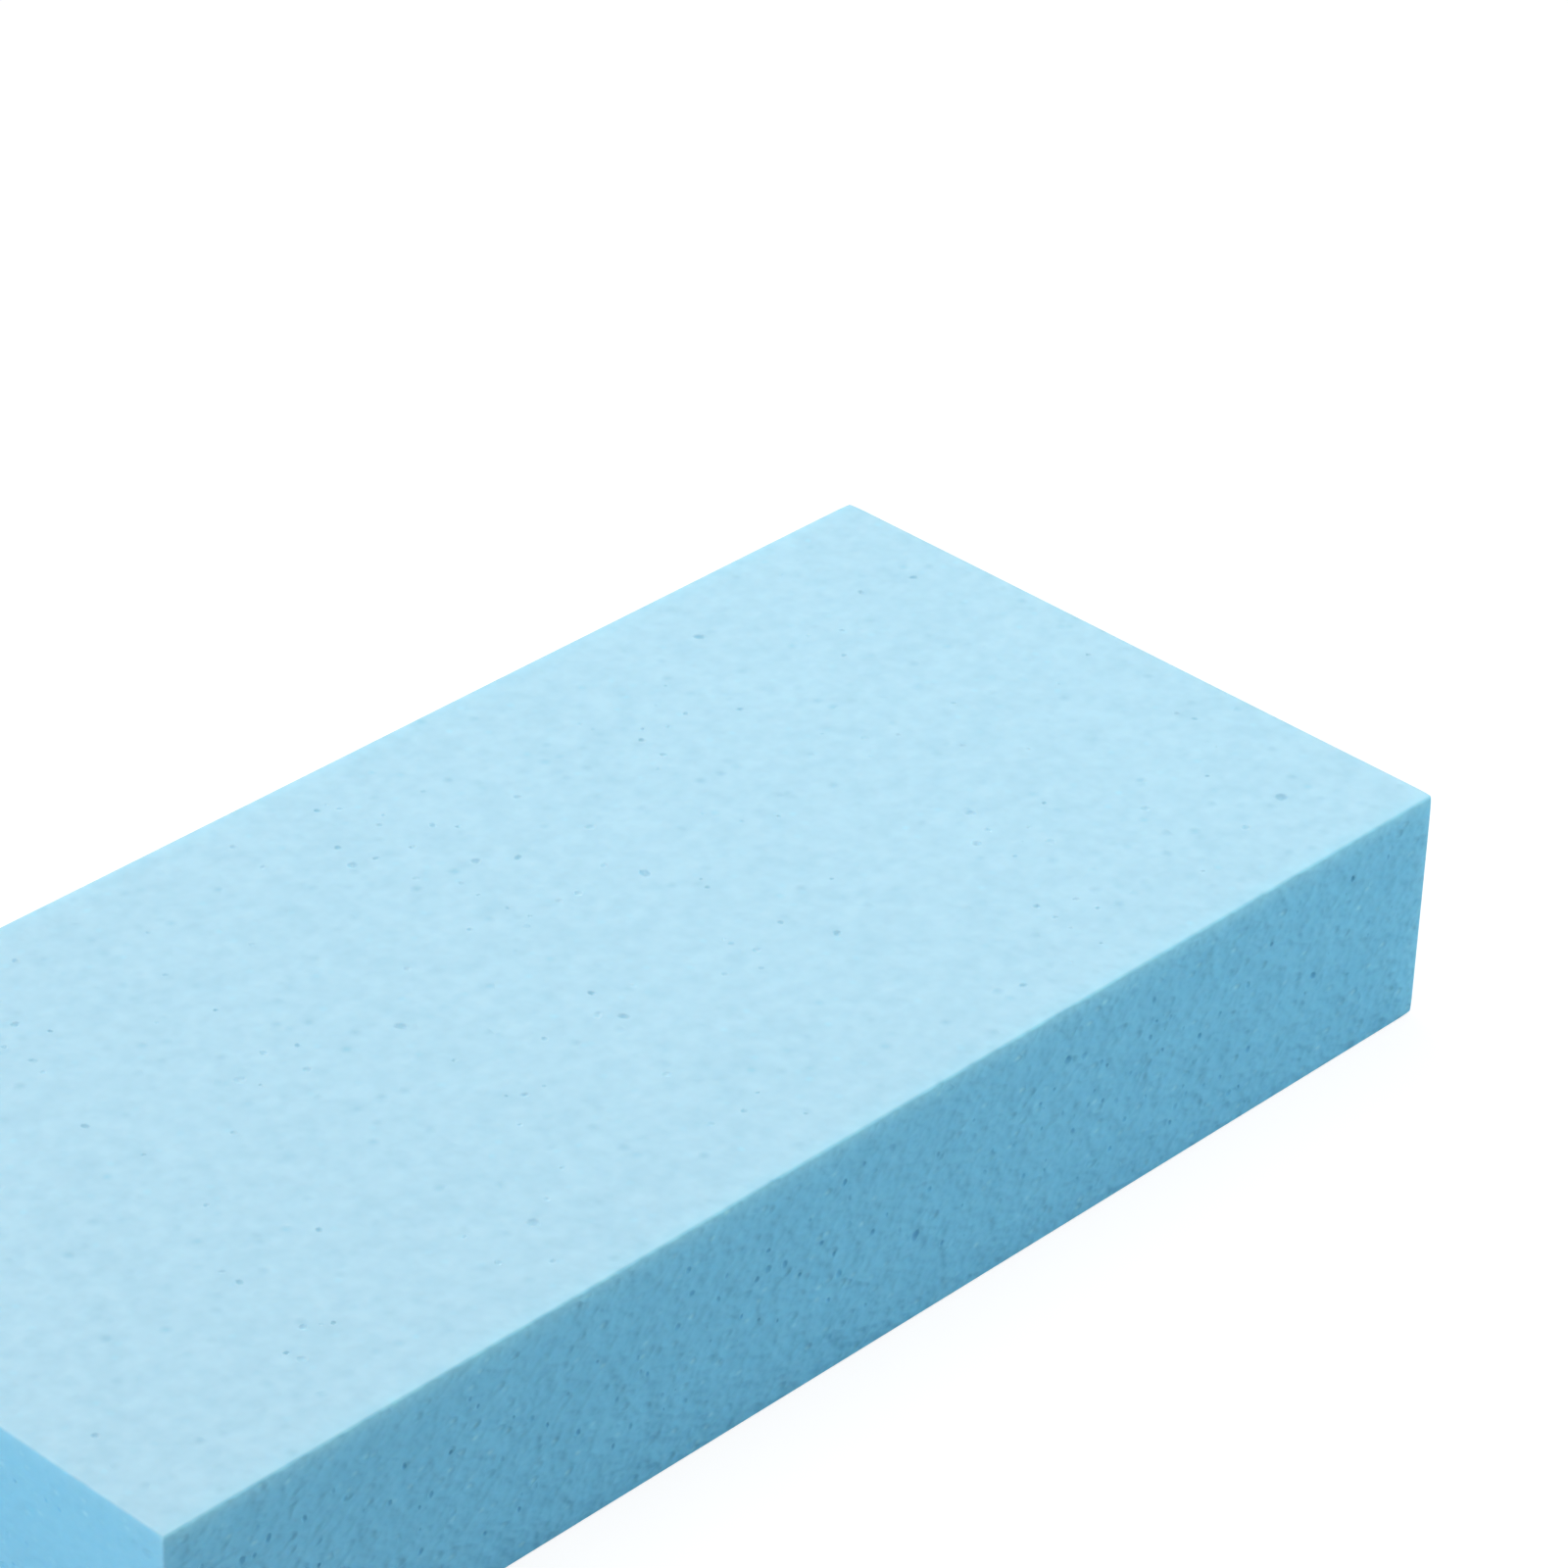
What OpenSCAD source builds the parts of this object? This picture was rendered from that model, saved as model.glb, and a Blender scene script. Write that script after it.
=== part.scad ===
// A block of soft open-cell foam, cut square from a flat sheet.
// Lengths are in millimetres. The origin is the middle of the bottom face, with +X along the
// block's length, +Y across its width and +Z up through the thickness of the sheet.

/* [Block] */
// Length of the block, along its long cut sides
block_length = 322; // [80:1:1200]
// Width of the block, along its short cut ends
block_width = 152; // [40:1:1000]
// Thickness of the sheet that the block is cut from
sheet_thickness = 50; // [12:1:150]

/* [Edges] */
// Radius that the edges round the top and bottom faces relax to once they are cut
face_edge_radius = 0.5; // [0.3:0.1:5]
// Radius that the four upright corners relax to
upright_corner_radius = 0.5; // [0.3:0.1:6]

/* [Hidden] */
foam_blue = [0.72, 0.90, 0.96];
$fn = 48;

// A rectangle about the origin whose four corners are true arcs of one radius
module rounded_rectangle(across, along, radius) {
    square([across - 2 * radius, along], center = true);
    square([across, along - 2 * radius], center = true);
    for (x_side = [-1, 1], y_side = [-1, 1]) {
        translate([x_side * (across / 2 - radius), y_side * (along / 2 - radius)])
            circle(r = radius);
    }
}

// Each outline is drawn through twice the block, so only its own rounded edges shape the foam

// The block's outline from above
module plan_outline() {
    linear_extrude(height = 2 * sheet_thickness, center = true)
        rounded_rectangle(block_length, block_width, upright_corner_radius);
}

// The block's outline from a long side
module side_outline() {
    rotate([90, 0, 0])
        linear_extrude(height = 2 * block_width, center = true)
            rounded_rectangle(block_length, sheet_thickness, face_edge_radius);
}

// The block's outline from a short end
module end_outline() {
    rotate([90, 0, 90])
        linear_extrude(height = 2 * block_length, center = true)
            rounded_rectangle(block_width, sheet_thickness, face_edge_radius);
}

// One piece of foam: all that the three outlines have in common
module foam_block() {
    color(foam_blue)
        translate([0, 0, sheet_thickness / 2])
            intersection() {
                plan_outline();
                side_outline();
                end_outline();
            }
}

foam_block();
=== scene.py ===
"""A block of pale blue open-cell foam, cut square from a sheet, in a plain studio.

The block is one piece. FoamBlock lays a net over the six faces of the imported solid, sinks the
larger open pores into it, rounds the edges, and dresses the result. FoamFinish is what the foam is
made of, and Studio holds the floor, the lamps and the view. Lengths are in metres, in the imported
frame: X along the block, Y across it and Z up through the sheet's thickness.
"""

import logging
import math
from collections.abc import Mapping
from dataclasses import dataclass, field
from enum import Enum
from typing import ClassVar

import bpy
import numpy as np
from mathutils import Matrix, Vector
from mathutils.geometry import delaunay_2d_cdt
from numpy.typing import NDArray


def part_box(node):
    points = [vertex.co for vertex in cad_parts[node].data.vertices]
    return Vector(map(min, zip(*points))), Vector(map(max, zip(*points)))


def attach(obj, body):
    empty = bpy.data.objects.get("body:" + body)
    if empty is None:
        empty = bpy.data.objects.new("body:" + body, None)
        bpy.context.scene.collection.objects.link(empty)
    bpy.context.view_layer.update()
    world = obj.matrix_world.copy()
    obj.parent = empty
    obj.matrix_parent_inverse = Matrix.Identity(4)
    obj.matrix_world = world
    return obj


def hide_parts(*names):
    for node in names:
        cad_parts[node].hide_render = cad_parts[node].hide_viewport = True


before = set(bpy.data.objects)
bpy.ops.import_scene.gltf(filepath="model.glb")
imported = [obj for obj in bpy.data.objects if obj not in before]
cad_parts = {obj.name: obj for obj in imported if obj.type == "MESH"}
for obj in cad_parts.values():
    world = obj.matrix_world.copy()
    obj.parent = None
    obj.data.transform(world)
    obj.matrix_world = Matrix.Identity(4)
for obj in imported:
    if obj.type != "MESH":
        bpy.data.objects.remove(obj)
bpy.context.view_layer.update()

MM = 0.001
SQUARE_MM = MM * MM
FULL_TURN = 2 * math.pi

# The name of the block's own flat layout
LAYOUT_MAP = "OFBake"

# The marks that the block's mesh carries for its finish
SAWN_MARK = "sawn"
END_MARK = "end_cut"
# The painted shade in the larger pores
PORE_SHADE_MARK = "pore_painted_darkness"
# The painted highlight along the lit edges, which also calms the relief there
EDGE_HIGHLIGHT_MARK = "near_edge_highlight"

Colour = tuple[float, float, float]
Floats = NDArray[np.float64]
Indices = NDArray[np.int64]

log = logging.getLogger("foam_block")


def opaque(colour: object) -> object:
    """A plain colour with full alpha, and anything else as it is."""
    return (*colour, 1.0) if isinstance(colour, tuple) and len(colour) == 3 else colour


def grey(level: float) -> Colour:
    """A neutral colour that bright."""
    return (level, level, level)


# ---------------------------------------------------------------------------------------------
# Shader maths
# ---------------------------------------------------------------------------------------------


class Blend(Enum):
    """How a second colour acts on the first one."""

    COVER = "MIX"
    TINT = "MULTIPLY"


class Value:
    """A number that varies over a surface: a shader socket with the usual arithmetic.

    Each operator adds one Math node, so an expression on values reads as plain arithmetic.
    """

    def __init__(self, shader: "Shader", socket: bpy.types.NodeSocket) -> None:
        """Wraps a socket.

        Args:
            shader: The node tree that the socket belongs to.
            socket: An output socket that carries one number.
        """
        self.shader = shader
        self.socket = socket

    def _math(self, operation: str, first: "Value | float", second: "Value | float") -> "Value":
        """Adds one Math node and returns its result."""
        node = self.shader.node("ShaderNodeMath", {"operation": operation}, {0: first, 1: second})
        return Value(self.shader, node.outputs[0])

    def __add__(self, other: "Value | float") -> "Value":
        """This value plus another."""
        return self._math("ADD", self, other)

    __radd__ = __add__

    def __sub__(self, other: "Value | float") -> "Value":
        """This value less another."""
        return self._math("SUBTRACT", self, other)

    def __rsub__(self, other: "Value | float") -> "Value":
        """A number less this value."""
        return self._math("SUBTRACT", other, self)

    def __mul__(self, other: "Value | float") -> "Value":
        """This value times another."""
        return self._math("MULTIPLY", self, other)

    __rmul__ = __mul__

    def __pow__(self, other: "Value | float") -> "Value":
        """This value to a power."""
        return self._math("POWER", self, other)

    def __rpow__(self, other: "Value | float") -> "Value":
        """A number to the power of this value."""
        return self._math("POWER", other, self)

    def at_most(self, other: "Value | float") -> "Value":
        """The lesser of this value and another."""
        return self._math("MINIMUM", self, other)

    def at_least(self, other: "Value | float") -> "Value":
        """The greater of this value and another."""
        return self._math("MAXIMUM", self, other)

    def eased(self, low: float, high: float) -> "Value":
        """This value as a smooth step.

        Args:
            low: The value that becomes 0.
            high: The value that becomes 1.

        Returns:
            A value from 0 to 1 that is level at both ends.
        """
        node = self.shader.node(
            "ShaderNodeMapRange",
            {"interpolation_type": "SMOOTHSTEP"},
            {"Value": self, "From Min": low, "From Max": high},
        )
        return Value(self.shader, node.outputs["Result"])


class Shader:
    """A material's or a world's node tree, to which nodes are added one call at a time."""

    # A Mix node's sockets for colours go by number, because those for numbers share their names
    MIX_FACTOR: ClassVar[int] = 0
    MIX_FIRST: ClassVar[int] = 6
    MIX_SECOND: ClassVar[int] = 7
    MIXED: ClassVar[int] = 2

    def __init__(self, owner: bpy.types.Material | bpy.types.World) -> None:
        """Empties the owner's node tree.

        Args:
            owner: The material or world that the nodes are for.
        """
        owner.use_nodes = True
        self.tree = owner.node_tree
        self.tree.nodes.clear()

    def node(
        self,
        kind: str,
        settings: Mapping[str, object] | None = None,
        inputs: Mapping[str | int, object] | None = None,
    ) -> bpy.types.Node:
        """Adds one node.

        Args:
            kind: The node's type, such as ShaderNodeTexNoise.
            settings: Its own settings, set before its inputs.
            inputs: What goes into its sockets, by name or number: a Value, a socket or a constant.

        Returns:
            The new node.
        """
        made = self.tree.nodes.new(kind)
        for name, setting in (settings or {}).items():
            setattr(made, name, setting)
        for name, given in (inputs or {}).items():
            if isinstance(given, Value):
                self.tree.links.new(given.socket, made.inputs[name])
            elif isinstance(given, bpy.types.NodeSocket):
                self.tree.links.new(given, made.inputs[name])
            else:
                made.inputs[name].default_value = given
        return made

    def value(self, kind: str, output: str, **given: object) -> Value:
        """Adds one node and returns one of its outputs as a value.

        Args:
            kind: The node's type.
            output: The name of the output that is wanted.
            **given: settings and inputs, as node() takes them.

        Returns:
            That output.
        """
        return Value(self, self.node(kind, **given).outputs[output])

    def attribute(self, name: str) -> Value:
        """The mesh attribute of that name, as a value."""
        return self.value("ShaderNodeAttribute", "Fac", settings={"attribute_name": name})

    def place(self) -> bpy.types.NodeSocket:
        """The place on the object, in its own coordinates."""
        return self.node("ShaderNodeTexCoord").outputs["Object"]

    def seen(self) -> Value:
        """Tells what the eye sees from the light on its way.

        Returns:
            1 for a ray from the camera, a reflection or a glass, and 0 for any other.
        """
        rays = self.node("ShaderNodeLightPath").outputs
        direct = Value(self, rays["Is Camera Ray"])
        mirrored = Value(self, rays["Is Glossy Ray"])
        through = Value(self, rays["Is Transmission Ray"])
        return direct.at_least(mirrored).at_least(through)

    def blend(
        self,
        factor: Value | float,
        first: object,
        second: object,
        how: Blend = Blend.COVER,
    ) -> bpy.types.NodeSocket:
        """Mixes two colours.

        Args:
            factor: How much of the second colour shows, from 0 to 1.
            first: A colour, or a socket that carries one.
            second: A colour, or a socket that carries one.
            how: How the second colour acts on the first one.

        Returns:
            The socket that carries the mixed colour.
        """
        node = self.node(
            "ShaderNodeMix",
            {"data_type": "RGBA", "blend_type": how.value},
            {
                self.MIX_FACTOR: factor,
                self.MIX_FIRST: opaque(first),
                self.MIX_SECOND: opaque(second),
            },
        )
        return node.outputs[self.MIXED]

    def choice(self, factor: Value, first: bpy.types.Node, second: bpy.types.Node) -> bpy.types.Node:
        """Mixes two shaders.

        Args:
            factor: How much of the second one shows, from 0 to 1.
            first: A shader's node.
            second: A shader's node.

        Returns:
            The node of the mixed shader.
        """
        given = {0: factor, 1: first.outputs[0], 2: second.outputs[0]}
        return self.node("ShaderNodeMixShader", inputs=given)


# ---------------------------------------------------------------------------------------------
# The foam's finish
# ---------------------------------------------------------------------------------------------


@dataclass(frozen=True)
class Strength:
    """How strongly something shows on each kind of face.

    Attributes:
        sheet: On the sheet's own faces, above and below.
        sawn: On the four sawn sides, where the cells are open.
    """

    sheet: float
    sawn: float

    def on(self, sawn: Value) -> Value:
        """The strength at each place, by how far the face there is a sawn one."""
        return self.sheet + (self.sawn - self.sheet) * sawn


@dataclass(frozen=True)
class Dapple:
    """Soft unevenness of one size: random tone, which is also painted shade in the low spots of those
    with relief.

    Attributes:
        width: The usual width of its spots.
        finer: How many finer layers lie over them.
        shade: How strongly it darkens the colour, as random tone and painted shade.
        relief: How high it stands beside the depth of a hollow.
        roughness: How strong each finer layer is beside the one before.
    """

    width: float
    finer: float
    shade: Strength
    relief: float = 0.0
    roughness: float = 0.55

    def spots(self, shader: Shader, place: bpy.types.NodeSocket) -> Value:
        """Makes the unevenness.

        Args:
            shader: The node tree.
            place: The place on the block.

        Returns:
            A value about 0, from about -0.25 to 0.25.
        """
        inputs = {
            "Vector": place,
            "Scale": 1 / self.width,
            "Detail": self.finer,
            "Roughness": self.roughness,
        }
        return shader.value("ShaderNodeTexNoise", "Fac", inputs=inputs) - 0.5


@dataclass(frozen=True)
class FoamFinish:
    """Matt, soft, slightly see-through foam whose cut cells show as a fine grain.

    Attributes:
        sheet_colour_with_painted_light: The sheet's own faces, above and below, paler partly as
            painted light for the lit top.
        sawn_colour_with_painted_shade: The sawn sides, where the cells are open; their blue is deeper
            partly for that and partly as painted shade on the sides.
        shade_tint: What full painted shade multiplies a face's colour by; the random tone and the even
            shade darken towards it too.
        edge_highlight_and_fleck_colour: The painted highlight along the lit edges, and the colour of
            the pale flecks.
        edge_highlight: How much of that painted highlight shows right at an edge.
        stretch: How the pattern is drawn out each way: a number under 1 makes it longer.
        turn: How the pattern is turned, so that its own grid lies along none of the faces.
        cell: The usual distance between the hollows that show.
        hollow_reach: How far from its middle a hollow ends, beside that distance.
        hollow_rarity: How rare the deep hollows are, as a power.
        hollow_painted_shade: How strongly a hollow darkens the colour, as painted shade.
        fleck_reach: How far from its middle a pale fleck ends, beside the cells' distance.
        fleck_rarity: How rare the palest flecks are, as a power.
        fleck_paleness: How much of the pale edge-highlight colour shows in the palest fleck.
        pore_painted_shade: How strongly a larger pore darkens the colour, as painted shade.
        base_shade: How much shade lies everywhere.
        grain: The unevenness between the hollows.
        mottle: The lighter and darker spots.
        cloud: The faint wide patches.
        relief: How deep the hollows and the unevenness are, beside relief_depth.
        relief_depth: How deep the deepest hollow looks.
        edge_calm: How much of the relief is gone right at an edge.
        end_calm: How much weaker all the unevenness is on the two short ends, which are cut finer.
        roughness: How matt the foam is.
        gloss: How much light its outer skin throws straight back.
        glow: How much of its light comes from inside.
        glow_depth: How far light wanders in the foam before it comes out again.
        glow_tint: How much further each colour of light wanders than that.
    """

    # The sheet faces' paler blue and the sawn sides' deeper blue are partly painted light and shade
    sheet_colour_with_painted_light: Colour = (0.458, 0.711, 0.845)
    sawn_colour_with_painted_shade: Colour = (0.227, 0.624, 0.89)
    # What the painted shade darkens the colour towards
    shade_tint: Colour = (0.28, 0.52, 0.61)
    # Painted highlight along the lit edges, also the pale flecks' colour
    edge_highlight_and_fleck_colour: Colour = (0.41, 0.83, 1.0)
    edge_highlight: Strength = Strength(sheet=0.44, sawn=0.88)
    stretch: tuple[float, float, float] = (0.88, 0.88, 1.3)
    turn: tuple[float, float, float] = (0.5, 0.7, 0.4)
    cell: float = 2.9 * MM
    hollow_reach: float = 0.48
    hollow_rarity: Strength = Strength(sheet=5.0, sawn=1.6)
    # Painted shade in the hollows
    hollow_painted_shade: Strength = Strength(sheet=0.22, sawn=0.10)
    fleck_reach: float = 0.36
    fleck_rarity: float = 3.5
    fleck_paleness: Strength = Strength(sheet=0.3, sawn=0.65)
    # Painted shade in the larger pores
    pore_painted_shade: Strength = Strength(sheet=0.36, sawn=0.26)
    base_shade: float = 0.08
    grain: Dapple = Dapple(2.6 * MM, 1.0, Strength(sheet=0.24, sawn=0.12), relief=1.2)
    mottle: Dapple = Dapple(4.0 * MM, 1.0, Strength(sheet=0.22, sawn=0.12), relief=2.6)
    cloud: Dapple = Dapple(16 * MM, 2.0, Strength(sheet=0.09, sawn=0.20))
    relief: Strength = Strength(sheet=0.2, sawn=1.0)
    relief_depth: float = 0.53 * MM
    edge_calm: float = 0.7
    end_calm: float = 0.45
    roughness: float = 0.95
    gloss: float = 0.15
    glow: float = 0.7
    glow_depth: float = 0.6 * MM
    glow_tint: tuple[float, float, float] = (1.5, 1.1, 1.0)

    def material(self) -> bpy.types.Material:
        """Builds the foam's material.

        The shade and the relief are each a sum of the hollows, the pores and the unevenness, each
        times its own strength and all of them weaker on the ends; the shade is painted shade in the
        hollows and the pores, and random tone with painted shade in the unevenness. The colour is the
        face's own, paler on the sheet faces and deeper on the sawn sides partly as painted light and
        shade, blended towards a painted highlight near the lit edges and towards the same pale colour
        in a fleck, and multiplied by the shade tint as far as the shade goes.

        Returns:
            A material on Object coordinates and the block's own four marks.
        """
        material = bpy.data.materials.new("open_cell_foam")
        shader = Shader(material)
        turned = {"Vector": shader.place(), "Rotation": self.turn, "Scale": self.stretch}
        place = shader.node("ShaderNodeMapping", inputs=turned).outputs["Vector"]
        sawn = shader.attribute(SAWN_MARK)
        pore = shader.attribute(PORE_SHADE_MARK)
        near_edge_highlight = shader.attribute(EDGE_HIGHLIGHT_MARK)
        strength = 1 - self.end_calm * shader.attribute(END_MARK)
        hollow, fleck = self._cells(shader, place, sawn)
        # Painted shade in the hollows and the larger pores; the dapples below add random tone, and
        # painted shade where they are low
        shade = hollow * self.hollow_painted_shade.on(sawn) + pore * self.pore_painted_shade.on(sawn)
        height = -1 * hollow
        for dapple in (self.grain, self.mottle, self.cloud):
            spots = dapple.spots(shader, place)
            shade = shade - spots * dapple.shade.on(sawn)
            height = height + spots * dapple.relief
        height = height * self.relief.on(sawn) * (1 - self.edge_calm * near_edge_highlight) * strength
        # The sheet faces' paler and the sawn sides' deeper colour, partly painted light and shade
        face_colour = shader.blend(sawn, self.sheet_colour_with_painted_light, self.sawn_colour_with_painted_shade)
        # Painted highlight along the lit edges, and the pale flecks
        flecked = fleck * self.fleck_paleness.on(sawn) * strength
        paleness = near_edge_highlight * self.edge_highlight.on(sawn) + flecked
        face_colour = shader.blend(paleness.at_most(1.0), face_colour, self.edge_highlight_and_fleck_colour)
        shade = (shade * strength + self.base_shade).at_most(1.0).at_least(0.0)
        colour = shader.blend(shade, face_colour, self.shade_tint, Blend.TINT)
        bumps = {"Distance": self.relief_depth, "Height": height}
        foam = shader.node(
            "ShaderNodeBsdfPrincipled",
            {"subsurface_method": "RANDOM_WALK"},
            {
                "Base Color": colour,
                "Roughness": self.roughness,
                "Normal": shader.node("ShaderNodeBump", inputs=bumps).outputs["Normal"],
                "Specular IOR Level": self.gloss,
                "Subsurface Weight": self.glow,
                "Subsurface Radius": self.glow_tint,
                "Subsurface Scale": self.glow_depth,
            },
        )
        shader.node("ShaderNodeOutputMaterial", inputs={"Surface": foam.outputs["BSDF"]})
        return material

    def _cells(self, shader: Shader, place: bpy.types.NodeSocket, sawn: Value) -> tuple[Value, Value]:
        """Finds how the cut cells lie: some as hollows, and some with a torn wall standing up.

        Each hollow deepens towards its middle as a smooth step of the distance from it, and has a
        depth of its own, a random number to a power, so that a few are deep and most are slight.
        A fleck is a smaller spot of the same kind, with a random number of its own.

        Args:
            shader: The node tree.
            place: The place on the block.
            sawn: 1 on the sawn sides and 0 on the sheet's own faces, where fewer cells are open.

        Returns:
            How deep the surface lies, from 0 between the hollows to 1 in the deepest, which also sets
            the painted shade in the hollows, and how pale a fleck is, from 0 between them to 1 in the
            palest.
        """
        spread = {"Vector": place, "Scale": 1 / self.cell}
        cells = shader.node("ShaderNodeTexVoronoi", {"feature": "F1"}, spread)
        from_middle = Value(shader, cells.outputs["Distance"])
        own = shader.node("ShaderNodeSeparateColor", inputs={"Color": cells.outputs["Color"]}).outputs
        depth = Value(shader, own["Red"]) ** self.hollow_rarity.on(sawn)
        height = Value(shader, own["Green"]) ** self.fleck_rarity
        hollow = (1 - from_middle.eased(0.0, self.hollow_reach)) * depth
        return hollow, (1 - from_middle.eased(0.0, self.fleck_reach)) * height


# ---------------------------------------------------------------------------------------------
# The block
# ---------------------------------------------------------------------------------------------


class Face(Enum):
    """The block's six faces, each as the axis that it is square to and the side it lies on."""

    UNDERSIDE = (2, -1)
    TOP = (2, 1)
    LEFT_END = (0, -1)
    RIGHT_END = (0, 1)
    FRONT_SIDE = (1, -1)
    BACK_SIDE = (1, 1)

    @property
    def normal_axis(self) -> int:
        """The axis that the face is square to."""
        return self.value[0]

    @property
    def side(self) -> int:
        """1 where the face looks along that axis and -1 where it looks back."""
        return self.value[1]

    @property
    def flat_axes(self) -> tuple[int, int]:
        """Gives the two axes in the face.

        Returns:
            Their numbers, in the order that turns towards the face's outer side.
        """
        following = (self.normal_axis + 1) % 3
        last = (self.normal_axis + 2) % 3
        return (following, last) if self.side > 0 else (last, following)

    @property
    def is_sawn(self) -> bool:
        """True for the four upright sides, which the saw cut."""
        return self.normal_axis != 2


@dataclass(frozen=True)
class PoreField:
    """How the larger open pores lie on one kind of face.

    Attributes:
        area_each: The area of face that has one pore, on average, in square metres.
        radius: The middle one of the pores' radii.
        spread: How widely the radii vary, as the deviation of their logarithm.
        depth: A pore's usual greatest depth beside its radius.
        patchiness: How strongly the pores gather: 0 is even, and 1 leaves some parts nearly bare.
    """

    area_each: float
    radius: float
    spread: float
    depth: float
    patchiness: float


@dataclass
class Pores:
    """The pores of one face, each a small dish of rings of points about a middle.

    Attributes:
        middle: Where each pore is on the face.
        radius: Its radius at the rim.
        depth: Its depth.
        shade: How much painted shade it has, from 0 to 1.
        outline: Its radius at each point of a ring, beside the plain radius.
    """

    middle: Floats
    radius: Floats
    depth: Floats
    shade: Floats
    outline: Floats

    RING_POINTS: ClassVar[int] = 8
    # The rings from outside in: radius beside the pore's own, share of its depth, and share of its
    # painted shade. The outermost lies flat round the rim, and keeps the face's shading level up to
    # it.
    RINGS: ClassVar[tuple[tuple[float, float, float], ...]] = (
        (1.25, 0.0, 0.0),
        (1.0, 0.0, 0.3),
        (0.76, 0.5, 0.7),
        (0.38, 0.92, 0.95),
    )
    # How many places are thrown for each pore that is wanted
    THROWS: ClassVar[int] = 12
    # The waves that make the pores gather: how many there are, and how short and long they may be
    WAVES: ClassVar[int] = 8
    WAVE_LENGTHS: ClassVar[tuple[float, float]] = (30 * MM, 110 * MM)
    # How far apart two pores' middles are at the least, beside the sum of their radii
    CLEARANCE: ClassVar[float] = 1.6
    # The most that a pore's outline strays from a circle, in two lobes and in three
    LOBES: ClassVar[tuple[float, float]] = (0.22, 0.10)
    # A pore's depth beside the usual greatest, from least to most
    DEPTHS: ClassVar[tuple[float, float]] = (0.6, 1.2)
    # How rare the pores with dark painted shade are, as a power
    DARK_RARITY: ClassVar[int] = 2

    @classmethod
    def scattered(cls, field_: PoreField, reach: Floats, rng: np.random.Generator) -> "Pores":
        """Scatters pores over a face.

        Places are thrown evenly, and each is kept with a chance that follows the crowding there,
        until there are enough. Of two pores that would come too close, the later is left out.

        Args:
            field_: How the pores lie.
            reach: How far from the face's middle they may lie, each way.
            rng: Where the randomness comes from.

        Returns:
            The face's pores.
        """
        wanted = round((2 * reach).prod() / field_.area_each)
        places = rng.uniform(-1, 1, (cls.THROWS * wanted, 2)) * reach
        crowding = cls._crowding(places, field_.patchiness, rng)
        middle = places[rng.random(len(places)) < crowding][:wanted]
        radius = field_.radius * np.exp(rng.normal(0, field_.spread, len(middle)))
        clear = cls._clear(middle, radius)
        middle = middle[clear]
        radius = radius[clear]
        count = len(middle)
        outline = cls._outlines(count, rng)
        depth = radius * field_.depth * rng.uniform(*cls.DEPTHS, count)
        shade = rng.uniform(0, 1, count) ** cls.DARK_RARITY
        return cls(middle, radius, depth, shade, outline)

    @classmethod
    def _crowding(cls, places: Floats, patchiness: float, rng: np.random.Generator) -> Floats:
        """How likely a pore is at each place: the exponential of a sum of cosine waves.

        Args:
            places: Places on the face.
            patchiness: How strong the waves are together.
            rng: Where the randomness comes from.

        Returns:
            A number for each place, of which the greatest is 1.
        """
        way, phase = rng.uniform(0, FULL_TURN, (2, cls.WAVES))
        pace = FULL_TURN / rng.uniform(*cls.WAVE_LENGTHS, cls.WAVES)
        waves = np.cos(places @ (np.stack([np.cos(way), np.sin(way)]) * pace) + phase)
        crowding = np.exp(patchiness * waves.sum(1) / math.sqrt(cls.WAVES / 2))
        return crowding / crowding.max()

    @classmethod
    def _clear(cls, middle: Floats, radius: Floats) -> NDArray[np.bool_]:
        """Finds the pores that are clear of every earlier one.

        Args:
            middle: Where each pore is.
            radius: Its radius.

        Returns:
            True for each pore that stays.
        """
        apart = np.linalg.norm(middle[:, None] - middle[None], axis=-1)
        needed = cls.CLEARANCE * (radius[:, None] + radius[None])
        return ~np.tril(apart < needed, -1).any(1)

    @classmethod
    def _outlines(cls, count: int, rng: np.random.Generator) -> Floats:
        """Draws the outlines: a circle with a two-lobed and a three-lobed cosine added.

        Args:
            count: How many are wanted.
            rng: Where the randomness comes from.

        Returns:
            The radius at each point of each ring, beside the plain radius.
        """
        turns = rng.uniform(0, FULL_TURN, (2, count, 1))
        stray = rng.uniform(0, cls.LOBES, (count, 2))
        two_lobes = stray[:, :1] * np.cos(2 * cls._angles() - turns[0])
        three_lobes = stray[:, 1:] * np.cos(3 * cls._angles() - turns[1])
        return 1 + two_lobes + three_lobes

    @classmethod
    def _angles(cls) -> Floats:
        """The angles of a ring's points."""
        return np.arange(cls.RING_POINTS) * (FULL_TURN / cls.RING_POINTS)

    @property
    def count(self) -> int:
        """How many pores there are."""
        return len(self.radius)

    @property
    def points_each(self) -> int:
        """How many points a pore has."""
        return self.RING_POINTS * len(self.RINGS) + 1

    def points(self) -> Floats:
        """Lays out the pores' points: ring radius times outline along each spoke from the middle.

        Returns:
            Each pore's rings from outside in, then its middle.
        """
        widths = np.array([width for width, _, _ in self.RINGS])
        reach = self.radius[:, None, None] * widths[None, :, None] * self.outline[:, None, :]
        spokes = np.stack([np.cos(self._angles()), np.sin(self._angles())], -1)
        rings = self.middle[:, None, None, :] + reach[..., None] * spokes
        pores = np.concatenate([rings.reshape(self.count, -1, 2), self.middle[:, None]], 1)
        return pores.reshape(-1, 2)

    def shares(self) -> tuple[Floats, Floats]:
        """Each point's share of its pore's depth and of its painted shade, for one pore."""
        rings = np.repeat(np.array(self.RINGS), self.RING_POINTS, axis=0)
        return np.append(rings[:, 1], 1.0), np.append(rings[:, 2], 1.0)

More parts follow.
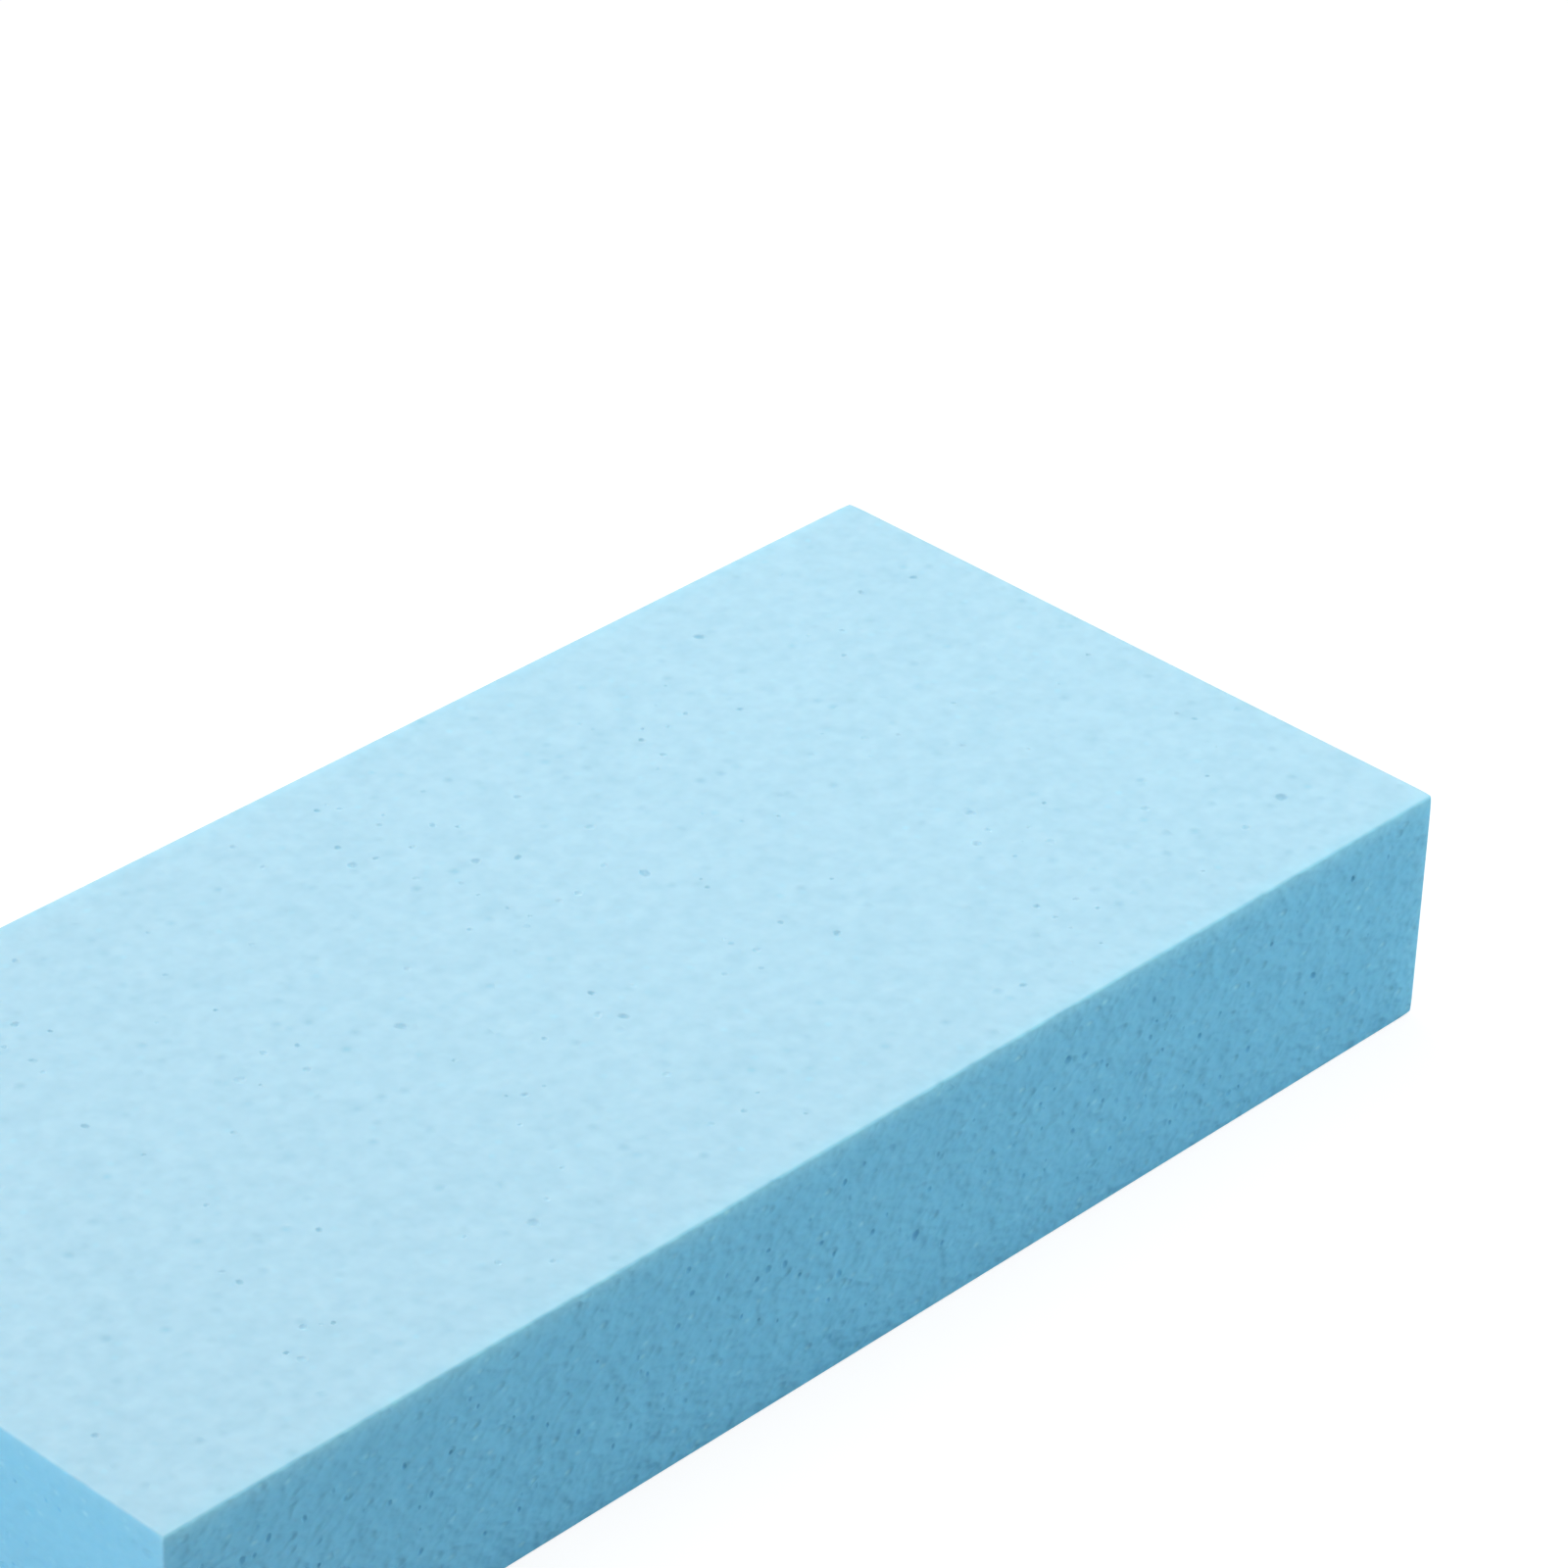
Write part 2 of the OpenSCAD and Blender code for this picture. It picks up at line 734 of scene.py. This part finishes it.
    def faces(self, first: int) -> tuple[Indices, Indices]:
        """Joins the rings of every pore.

        Args:
            first: The number of the first pore's first point.

        Returns:
            The quads between the rings, and the triangles round the middle.
        """
        around = self.RING_POINTS
        spot = np.arange(around)
        after = (spot + 1) % around
        last = around * (len(self.RINGS) - 1)
        band = np.stack([spot, after, after + around, spot + around], -1)
        bands = np.arange(0, last, around)[:, None, None] + band
        fan = np.stack([spot + last, after + last, np.full(around, last + around)], -1)
        starts = (first + np.arange(self.count) * self.points_each)[:, None, None]
        return (starts + bands.reshape(-1, 4)).reshape(-1, 4), (starts + fan).reshape(-1, 3)

    def outer_rings(self, first: int) -> Indices:
        """The numbers of each pore's outermost points, a row to a pore, as faces() counts them."""
        return first + np.arange(self.count)[:, None] * self.points_each + np.arange(self.RING_POINTS)


@dataclass
class Net:
    """Points, faces and marks of one face of the block, or of several.

    Attributes:
        flat: Each point's place on the sharp-edged box, from its middle.
        sunk: How far each point is pushed into the block, as a vector.
        pore: How much painted shade each point gets from its pore, from 0 at the surface.
        layout: Each point's place in the flat layout.
        quads: Faces with four corners, as numbers of points.
        triangles: Faces with three corners.
    """

    flat: Floats
    sunk: Floats
    pore: Floats
    layout: Floats
    quads: Indices
    triangles: Indices

    # Points closer than about this are one
    WELD_STEP: ClassVar[float] = MM / 1000

    @classmethod
    def joined(cls, nets: list["Net"]) -> "Net":
        """Puts nets one after another, with their faces' numbers moved on.

        Args:
            nets: The nets.

        Returns:
            One net with all their points and faces.
        """
        starts = np.cumsum([0] + [len(net.flat) for net in nets[:-1]])
        return cls(
            flat=np.concatenate([net.flat for net in nets]),
            sunk=np.concatenate([net.sunk for net in nets]),
            pore=np.concatenate([net.pore for net in nets]),
            layout=np.concatenate([net.layout for net in nets]),
            quads=np.concatenate([net.quads + s for net, s in zip(nets, starts, strict=True)]),
            triangles=np.concatenate([net.triangles + s for net, s in zip(nets, starts, strict=True)]),
        )

    def corners(self) -> tuple[Indices, Indices]:
        """Every face's corners in one row, and how many corners each face has."""
        row = np.concatenate([self.quads.ravel(), self.triangles.ravel()])
        return row, np.repeat([4, 3], [len(self.quads), len(self.triangles)])

    def welded(self) -> tuple[Indices, Indices]:
        """Finds the points that faces use, each place once.

        Returns:
            The numbers of the points that stay, and for every point the place in that list of
            the one that stands for it.
        """
        used = np.unique(self.corners()[0])
        steps = np.round((self.flat + self.sunk)[used] / self.WELD_STEP).astype(np.int64)
        _, first, group = np.unique(steps, axis=0, return_index=True, return_inverse=True)
        stand_in = np.zeros(len(self.flat), np.int64)
        stand_in[used] = group.ravel()
        return used[first], stand_in


@dataclass
class FoamBlock:
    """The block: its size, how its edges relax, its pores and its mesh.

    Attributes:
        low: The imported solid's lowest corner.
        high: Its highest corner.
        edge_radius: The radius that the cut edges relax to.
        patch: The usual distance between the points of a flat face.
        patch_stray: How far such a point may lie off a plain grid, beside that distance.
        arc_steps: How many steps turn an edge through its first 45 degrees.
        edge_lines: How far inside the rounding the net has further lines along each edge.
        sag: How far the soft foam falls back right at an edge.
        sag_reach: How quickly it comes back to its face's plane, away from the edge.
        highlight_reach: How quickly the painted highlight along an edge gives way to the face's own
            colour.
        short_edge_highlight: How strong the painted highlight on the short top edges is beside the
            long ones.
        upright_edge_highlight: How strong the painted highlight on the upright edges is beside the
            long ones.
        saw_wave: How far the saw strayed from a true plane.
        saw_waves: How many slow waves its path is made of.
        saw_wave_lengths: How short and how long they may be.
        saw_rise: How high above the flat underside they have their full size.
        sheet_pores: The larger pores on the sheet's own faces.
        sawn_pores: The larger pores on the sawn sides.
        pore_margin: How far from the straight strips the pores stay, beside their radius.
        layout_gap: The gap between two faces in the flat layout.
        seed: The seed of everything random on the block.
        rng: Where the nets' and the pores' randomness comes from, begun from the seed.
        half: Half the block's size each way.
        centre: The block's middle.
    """

    low: Vector
    high: Vector
    edge_radius: float = 0.5 * MM
    patch: float = 3.6 * MM
    patch_stray: float = 0.42
    arc_steps: int = 3
    edge_lines: tuple[float, ...] = (0.5 * MM, 1.2 * MM, 2.2 * MM, 3.6 * MM, 5.6 * MM)
    sag: float = 0.14 * MM
    sag_reach: float = 1.6 * MM
    # Painted highlight along the lit top and upright edges
    highlight_reach: float = 1.7 * MM
    short_edge_highlight: float = 0.3
    upright_edge_highlight: float = 0.3
    saw_wave: float = 0.05 * MM
    saw_waves: int = 10
    saw_wave_lengths: tuple[float, float] = (45 * MM, 160 * MM)
    saw_rise: float = 12 * MM
    sheet_pores: PoreField = PoreField(
        area_each=230 * SQUARE_MM, radius=0.62 * MM, spread=0.28, depth=0.30, patchiness=0.8
    )
    sawn_pores: PoreField = PoreField(
        area_each=55 * SQUARE_MM, radius=0.60 * MM, spread=0.25, depth=0.42, patchiness=0.5
    )
    pore_margin: float = 3.0
    layout_gap: float = 2 * MM
    seed: int = 20
    rng: np.random.Generator = field(init=False)
    half: Floats = field(init=False)
    centre: Floats = field(init=False)

    # How far from a pore's middle the net's own points stay: beside its radius, and besides that
    POINT_CLEARANCE: ClassVar[float] = 2.0
    POINT_GAP: ClassVar[float] = 0.6 * MM
    # The kind of triangulation that fills the whole outline, and how close two points are one
    FILLED: ClassVar[int] = 0
    SAME_POINT: ClassVar[float] = 1e-6

    def __post_init__(self) -> None:
        """Works out the block's middle and its half sizes."""
        self.rng = np.random.default_rng(self.seed)
        low = np.array(self.low)
        high = np.array(self.high)
        self.centre = (low + high) / 2
        self.half = (high - low) / 2

    def build(self, finish: FoamFinish) -> bpy.types.Object:
        """Makes the dressed block.

        Args:
            finish: What the block is made of.

        Returns:
            The block's object, at the origin, with its place in its mesh.
        """
        mesh = self._mesh(Net.joined([self._net(face) for face in Face]))
        mesh.materials.append(finish.material())
        block = bpy.data.objects.new("cut_foam_block", mesh)
        bpy.context.scene.collection.objects.link(block)
        return block

    def _lines(self, axis: int) -> Floats:
        """Places of the net's lines along one axis, the same for every face that meets there.

        On the rounded edges a line is r tan(a) past the start of the edge for equal steps of the
        angle a, which the rounding turns into equal steps of arc. A few lines just inside follow how
        the foam falls back towards the edge, and equal patches fill the rest.

        Args:
            axis: 0, 1 or 2.

        Returns:
            The places, from the lowest to the highest, from the block's middle.
        """
        flat = self.half[axis] - self.edge_radius
        angles = np.linspace(0.0, math.pi / 4, self.arc_steps + 1)
        arc = flat + self.edge_radius * np.tan(angles)
        inside = flat - np.array(self.edge_lines[::-1])
        count = max(1, round(2 * inside[0] / self.patch))
        inner = np.linspace(-inside[0], inside[0], count + 1)[1:-1]
        half_lines = np.concatenate([inside, arc])
        return np.concatenate([-half_lines[::-1], inner, half_lines])

    def _net(self, face: Face) -> Net:
        """Lays the net on one face: straight strips along its edges, and open pores within them.

        Args:
            face: The face.

        Returns:
            The face's own points and faces.
        """
        axis_u, axis_v = face.flat_axes
        grid = np.stack(np.meshgrid(self._lines(axis_u), self._lines(axis_v), indexing="ij"), -1)
        numbers = np.arange(grid[..., 0].size).reshape(grid.shape[:2])
        quads = np.stack([numbers[:-1, :-1], numbers[1:, :-1], numbers[1:, 1:], numbers[:-1, 1:]], -1)
        rim = self.arc_steps + len(self.edge_lines)
        strips = np.ones(quads.shape[:2], bool)
        strips[rim:-rim, rim:-rim] = False
        inner = numbers[rim:-rim, rim:-rim]
        loose = inner[1:-1, 1:-1]
        stray = self.patch_stray * self.patch
        points = grid.reshape(-1, 2)
        points[loose] += self.rng.uniform(-stray, stray, (*loose.shape, 2))
        pore_field = self.sawn_pores if face.is_sawn else self.sheet_pores
        reach = points[inner[-1, -1]] - self.pore_margin * pore_field.radius
        pores = Pores.scattered(pore_field, reach, self.rng)
        first = len(points)
        points = np.concatenate([points, pores.points()])
        flat = np.empty((len(points), 3))
        flat[:, (axis_u, axis_v)] = points
        flat[:, face.normal_axis] = face.side * self.half[face.normal_axis]
        deep, dark = pores.shares()
        sunk = np.zeros((len(points), 3))
        sunk[first:, face.normal_axis] = (-face.side * pores.depth[:, None] * deep).ravel()
        # Painted shade in each pore
        shaded = np.zeros(len(points))
        shaded[first:] = (pores.shade[:, None] * dark).ravel()
        pore_quads, pore_triangles = pores.faces(first)
        return Net(
            flat=flat,
            sunk=sunk,
            pore=shaded,
            layout=self._laid_out(face, points),
            quads=np.concatenate([quads[strips], pore_quads]),
            triangles=np.concatenate([self._between(points, inner, pores, first), pore_triangles]),
        )

    def _between(self, points: Floats, inner: Indices, pores: Pores, first: int) -> Indices:
        """Fills the flat of a face between its pores with triangles.

        Args:
            points: The face's points.
            inner: The numbers of the net's points on the flat, row by row.
            pores: The face's pores.
            first: The number of the first pore's first point.

        Returns:
            The triangles, each turned towards the face's outer side.
        """
        border = np.concatenate([inner[:-1, 0], inner[-1, :-1], inner[:0:-1, -1], inner[0, :0:-1]])
        loose = inner[1:-1, 1:-1].ravel()
        apart = np.linalg.norm(points[loose][:, None] - pores.middle[None], axis=-1)
        loose = loose[(apart > self.POINT_CLEARANCE * pores.radius + self.POINT_GAP).all(1)]
        rings = pores.outer_rings(first)
        pool = np.concatenate([border, loose, rings.ravel()])
        along = np.arange(len(border))
        edges = np.stack([along, np.roll(along, -1)], -1)
        outlines = len(border) + len(loose) + np.arange(rings.size).reshape(rings.shape)
        _, _, faces, origins, _, within = delaunay_2d_cdt(
            (points[pool] / MM).tolist(),
            edges.tolist(),
            outlines.tolist(),
            self.FILLED,
            self.SAME_POINT,
        )
        outside_pores = np.fromiter(map(len, within), int) == 0
        return pool[np.concatenate(origins)[np.array(faces)[outside_pores]]]

    def _laid_out(self, face: Face, points: Floats) -> Floats:
        """Places a face's points in the flat layout, at one scale for all six faces.

        The two sheet faces and the two long sides are stacked, each as long as the block, and the
        two ends stand one above the other in the column that is left beside them.

        Args:
            face: The face.
            points: The points on the face, from its middle.

        Returns:
            Their places in the unit square.
        """
        length, width, thickness = 2 * self.half
        gap = self.layout_gap
        column = length + 2 * gap
        corners = {
            Face.UNDERSIDE: (gap, gap),
            Face.TOP: (gap, width + 2 * gap),
            Face.FRONT_SIDE: (gap, 2 * width + 3 * gap),
            Face.BACK_SIDE: (gap, 2 * width + thickness + 4 * gap),
            Face.LEFT_END: (column, gap),
            Face.RIGHT_END: (column, width + 2 * gap),
        }
        whole = 2 * width + 2 * thickness + 5 * gap
        axis_u, axis_v = face.flat_axes
        longer_last = self.half[axis_v] > self.half[axis_u]
        turned = longer_last != (face.normal_axis == 0)
        laid = np.stack([-points[:, 1], points[:, 0]], -1) if turned else points
        size = 2 * self.half[[axis_v, axis_u]] if turned else 2 * self.half[[axis_u, axis_v]]
        return (laid + size / 2 + corners[face]) / whole

    def _outward(self, flat: Floats) -> Floats:
        """Finds which way is outwards on the rounded box: (p - q) / |p - q|, as _shaped has them.

        Args:
            flat: Places on the sharp box, from its middle.

        Returns:
            A direction of length 1 for each.
        """
        core = self.half - self.edge_radius
        out = flat - flat.clip(-core, core)
        return out / np.linalg.norm(out, axis=1, keepdims=True)

    def _shaped(self, flat: Floats) -> Floats:
        """Rounds the sharp box, lets its edges fall back and lets its sides stray as a saw does.

        A point p of the sharp box goes to q + r (p - q) / |p - q|, where q is p held inside the box
        less its edge radius r. With g = exp(-d / t) along each axis, d being the distance from the
        box's plane and t the sag's reach, it then falls back along each axis by the sag times that
        axis's g times the sum of the other two. Last, a sum of slow cosine waves, which fades out
        towards the flat underside, moves it by a few hundredths of a millimetre.

        Args:
            flat: Places on the sharp box, from its middle.

        Returns:
            Places on the relaxed block, from its middle.
        """
        core = self.half - self.edge_radius
        rounded = flat.clip(-core, core) + self.edge_radius * self._outward(flat)
        near = np.exp((np.abs(rounded) - self.half) / self.sag_reach)
        fallen = rounded - self.sag * np.sign(rounded) * near * (near.sum(1, keepdims=True) - near)
        rng = np.random.default_rng(self.seed + 1)
        way = rng.normal(size=(3, self.saw_waves))
        way /= np.linalg.norm(way, axis=0)
        pace = FULL_TURN / rng.uniform(*self.saw_wave_lengths, self.saw_waves)
        sway = np.cos(fallen @ (way * pace) + rng.uniform(0, FULL_TURN, self.saw_waves))
        push = rng.normal(size=(self.saw_waves, 3)) / math.sqrt(self.saw_waves)
        return fallen + self.saw_wave * self._risen(fallen)[:, None] * (sway @ push)

    def _risen(self, place: Floats) -> Floats:
        """A smooth step of the height h above the underside: 3 h^2 - 2 h^3, with h from 0 to 1.

        Args:
            place: Places from the block's middle.

        Returns:
            0 at the underside, and 1 from the saw's rise up.
        """
        height = ((place[:, 2] + self.half[2]) / self.saw_rise).clip(0, 1)
        return height * height * (3 - 2 * height)

    def _highlighted(self, flat: Floats) -> Floats:
        """How strong the painted highlight is for being near a lit edge.

        With g = exp(-d / t) for each way, d being the distance from the box's nearest plane that
        way (always the top's, for Z) and t the highlight's reach, it is the greatest of the
        products of two, each times its own kind of edge's share. On an end the upright edges'
        highlight reaches half as far, and the lower edges, which get less light, have no painted
        highlight.

        Args:
            flat: Places on the sharp box, from its middle.

        Returns:
            A number from 0 to 1 for each.
        """
        apart = self.half - np.abs(flat)
        apart[:, 2] = self.half[2] - flat[:, 2]
        end, side, top = np.exp(-apart / self.highlight_reach).T
        short = self.short_edge_highlight * end * top
        upright = self.upright_edge_highlight * end * side**2
        return np.max((side * top, short, upright), axis=0)

    def _mesh(self, net: Net) -> bpy.types.Mesh:
        """Makes one closed mesh of the six faces' net, with its marks and its layout.

        Args:
            net: The six faces' nets, joined.

        Returns:
            The block's mesh.
        """
        corners, sides = net.corners()
        kept, stand_in = net.welded()
        flat = net.flat[kept]
        place = self._shaped(flat) + net.sunk[kept] + self.centre
        outward = self._outward(flat)
        marks = {
            SAWN_MARK: 1 - outward[:, 2] ** 2,
            END_MARK: outward[:, 0] ** 2,
            # Painted shade in the pores, and painted highlight along the lit edges
            PORE_SHADE_MARK: net.pore[kept],
            EDGE_HIGHLIGHT_MARK: self._highlighted(flat),
        }
        mesh = bpy.data.meshes.new("cut_foam_block")
        mesh.vertices.add(len(kept))
        mesh.vertices.foreach_set("co", place.ravel())
        mesh.loops.add(len(corners))
        mesh.loops.foreach_set("vertex_index", stand_in[corners].astype(np.int32))
        mesh.polygons.add(len(sides))
        mesh.polygons.foreach_set("loop_start", (np.cumsum(sides) - sides).astype(np.int32))
        mesh.update(calc_edges=True)
        mesh.polygons.foreach_set("use_smooth", np.ones(len(sides), bool))
        layout = mesh.uv_layers.new(name=LAYOUT_MAP)
        layout.uv.foreach_set("vector", net.layout[corners].ravel())
        for name, values in marks.items():
            mark = mesh.attributes.new(name, "FLOAT", "POINT")
            mark.data.foreach_set("value", values.astype(np.float32))
        if mesh.validate():
            raise ValueError("the block's mesh had faces that had to be mended")
        log.info("block mesh: %d points, %d faces", len(kept), len(sides))
        return mesh


# ---------------------------------------------------------------------------------------------
# The studio
# ---------------------------------------------------------------------------------------------


def away(azimuth: float, elevation: float) -> Vector:
    """The way from the block to a place round it.

    Args:
        azimuth: Degrees from -Y towards +X.
        elevation: Degrees above the floor.

    Returns:
        A direction of length 1.
    """
    a = math.radians(azimuth)
    e = math.radians(elevation)
    return Vector((math.sin(a) * math.cos(e), -math.cos(a) * math.cos(e), math.sin(e)))


@dataclass(frozen=True)
class Lamp:
    """A soft square lamp that looks at the block.

    Attributes:
        name: What the lamp is for.
        azimuth: Where it stands round the block, in degrees from -Y towards +X.
        elevation: How high it stands, in degrees.
        distance: How far from the block's middle.
        size: The side of its square.
        power: Its power in watts.
        colour: Its colour.
    """

    name: str
    azimuth: float
    elevation: float
    distance: float
    size: float
    power: float
    colour: Colour

    def hang(self, target: Vector) -> None:
        """Hangs the lamp, turned towards its target.

        Args:
            target: The block's middle.
        """
        light = bpy.data.lights.new(self.name, "AREA")
        light.shape = "SQUARE"
        light.size = self.size
        light.energy = self.power
        light.color = self.colour
        holder = bpy.data.objects.new(self.name, light)
        towards = away(self.azimuth, self.elevation)
        holder.location = target + towards * self.distance
        holder.rotation_mode = "QUATERNION"
        holder.rotation_quaternion = towards.to_track_quat("Z", "Y")
        holder.visible_camera = False
        bpy.context.scene.collection.objects.link(holder)


@dataclass(frozen=True)
class View:
    """Where the block is seen from.

    Attributes:
        azimuth: Where the camera stands round the block, in degrees from -Y towards +X.
        elevation: How high it stands, in degrees.
        roll: How far the camera is turned against the clock, in degrees.
        sensor: The width of its sensor, in millimetres.
        lens: Its focal length, in millimetres.
        aim: The place on the top face that it looks at, as shares of the length and the width.
        distance: How far from that place it stands, in block lengths.
    """

    azimuth: float = -47.48
    elevation: float = 32.28
    roll: float = 2.19
    sensor: float = 36.0
    lens: float = 153.86
    aim: tuple[float, float] = (0.7296, 0.5744)
    distance: float = 3.931

    def set_up(self, low: Vector, high: Vector) -> None:
        """Sets the camera up, level but for its roll about the line of sight.

        Args:
            low: The block's lowest corner.
            high: The block's highest corner.
        """
        back = away(self.azimuth, self.elevation)
        level = Vector((0, 0, 1)).cross(back).normalized()
        above = back.cross(level)
        roll = math.radians(self.roll)
        right = math.cos(roll) * level + math.sin(roll) * above
        up = math.cos(roll) * above - math.sin(roll) * level
        size = high - low
        aim = Vector((low.x + self.aim[0] * size.x, low.y + self.aim[1] * size.y, high.z))
        data = bpy.data.cameras.new("view")
        data.sensor_width = self.sensor
        data.lens = self.lens
        camera = bpy.data.objects.new("view", data)
        turned = Matrix((right, up, back)).transposed().to_4x4()
        camera.matrix_world = Matrix.Translation(aim + back * self.distance * size.x) @ turned
        bpy.context.scene.collection.objects.link(camera)
        bpy.context.scene.camera = camera


@dataclass(frozen=True)
class Floor:
    """A flat pale floor, white to the eye except in the block's shadow.

    Attributes:
        gap: How far it lies under the block.
        reach: How far it runs each way.
        colour: Its colour as the block sees it.
        shadow: How much of its light the block's shadow can take away, as the eye sees it.
        glow: The light that it keeps in that shadow.
        fade: How far from the block's middle it begins to turn plain white, and is that.
    """

    gap: float = 0.05 * MM
    reach: float = 9.0
    colour: Colour = grey(0.8)
    shadow: Colour = grey(0.2)
    glow: Colour = grey(0.86)
    fade: tuple[float, float] = (0.3, 0.8)

    def lay(self, rests_at: float) -> None:
        """Lays the floor.

        Args:
            rests_at: The height of the block's underside.
        """
        spots = [(-self.reach, -self.reach), (self.reach, -self.reach)]
        spots += [(self.reach, self.reach), (-self.reach, self.reach)]
        mesh = bpy.data.meshes.new("floor")
        mesh.from_pydata([(x, y, rests_at - self.gap) for x, y in spots], [], [range(len(spots))])
        mesh.materials.append(self._material())
        floor = bpy.data.objects.new("floor", mesh)
        bpy.context.scene.collection.objects.link(floor)

    def _material(self) -> bpy.types.Material:
        """Builds the floor's material.

        Returns:
            A material that is plain to the block, and near white to the eye.
        """
        material = bpy.data.materials.new("pale_floor")
        shader = Shader(material)
        plain = shader.node("ShaderNodeBsdfDiffuse", inputs={"Color": opaque(self.colour)})
        shaded = shader.node("ShaderNodeBsdfDiffuse", inputs={"Color": opaque(self.shadow)})
        glow = shader.node("ShaderNodeEmission", inputs={"Color": opaque(self.glow)})
        near = shader.node("ShaderNodeAddShader", inputs={0: shaded.outputs[0], 1: glow.outputs[0]})
        far = shader.node("ShaderNodeEmission", inputs={"Color": opaque(grey(1.0))})
        length = shader.node("ShaderNodeVectorMath", {"operation": "LENGTH"}, {0: shader.place()})
        faded = Value(shader, length.outputs["Value"]).eased(*self.fade)
        whole = shader.choice(shader.seen(), plain, shader.choice(faded, near, far))
        shader.node("ShaderNodeOutputMaterial", inputs={"Surface": whole.outputs[0]})
        return material


@dataclass(frozen=True)
class Studio:
    """A plain pale floor that fades into a white surround, soft lamps and the camera.

    Attributes:
        low: The block's lowest corner.
        high: The block's highest corner.
        floor: The floor.
        lamps: The soft lamps.
        view: Where the block is seen from.
        fill: The colour and strength of the light from all round.
    """

    low: Vector
    high: Vector
    floor: Floor = Floor()
    lamps: tuple[Lamp, ...] = (
        Lamp(
            name="over_softbox",
            azimuth=90,
            elevation=76,
            distance=0.85,
            size=0.6,
            power=3.91,
            colour=(0.95, 0.995, 1.0),
        ),
        Lamp(
            name="right_softbox",
            azimuth=45,
            elevation=25,
            distance=1.2,
            size=0.6,
            power=4.26,
            colour=(0.845, 0.98, 1.0),
        ),
        Lamp(
            name="left_softbox",
            azimuth=-100,
            elevation=25,
            distance=1.2,
            size=0.6,
            power=7.6,
            colour=(1.0, 0.855, 0.84),
        ),
        Lamp(
            name="back_softbox",
            azimuth=165,
            elevation=30,
            distance=1.4,
            size=1.0,
            power=7.2,
            colour=grey(1.0),
        ),
    )
    view: View = View()
    fill: Colour = (0.150, 0.164, 0.166)

    def build(self) -> None:
        """Lays the floor, hangs the lamps, lights the surround and sets the camera up."""
        self.floor.lay(self.low.z)
        for lamp in self.lamps:
            lamp.hang((self.low + self.high) / 2)
        self._surround()
        self.view.set_up(self.low, self.high)
        bpy.context.scene.view_settings.view_transform = "Standard"

    def _surround(self) -> None:
        """Lights the block softly from all round, with light that the eye sees as white."""
        world = bpy.data.worlds.new("surround")
        bpy.context.scene.world = world
        shader = Shader(world)
        colour = shader.blend(shader.seen(), self.fill, grey(1.0))
        light = shader.node("ShaderNodeBackground", inputs={"Color": colour})
        shader.node("ShaderNodeOutputWorld", inputs={"Surface": light.outputs[0]})


def main() -> None:
    """Builds the block and the studio, puts the block on the root body and hides the imported solid.
    """
    logging.basicConfig(level=logging.INFO, format="%(name)s: %(message)s")
    low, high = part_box("foam_block")
    block = FoamBlock(low, high).build(FoamFinish())
    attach(block, "root")
    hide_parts("foam_block")
    log.info("foam block built and dressed")
    Studio(low, high).build()
    log.info("studio set up")


if __name__ == "__main__":
    main()
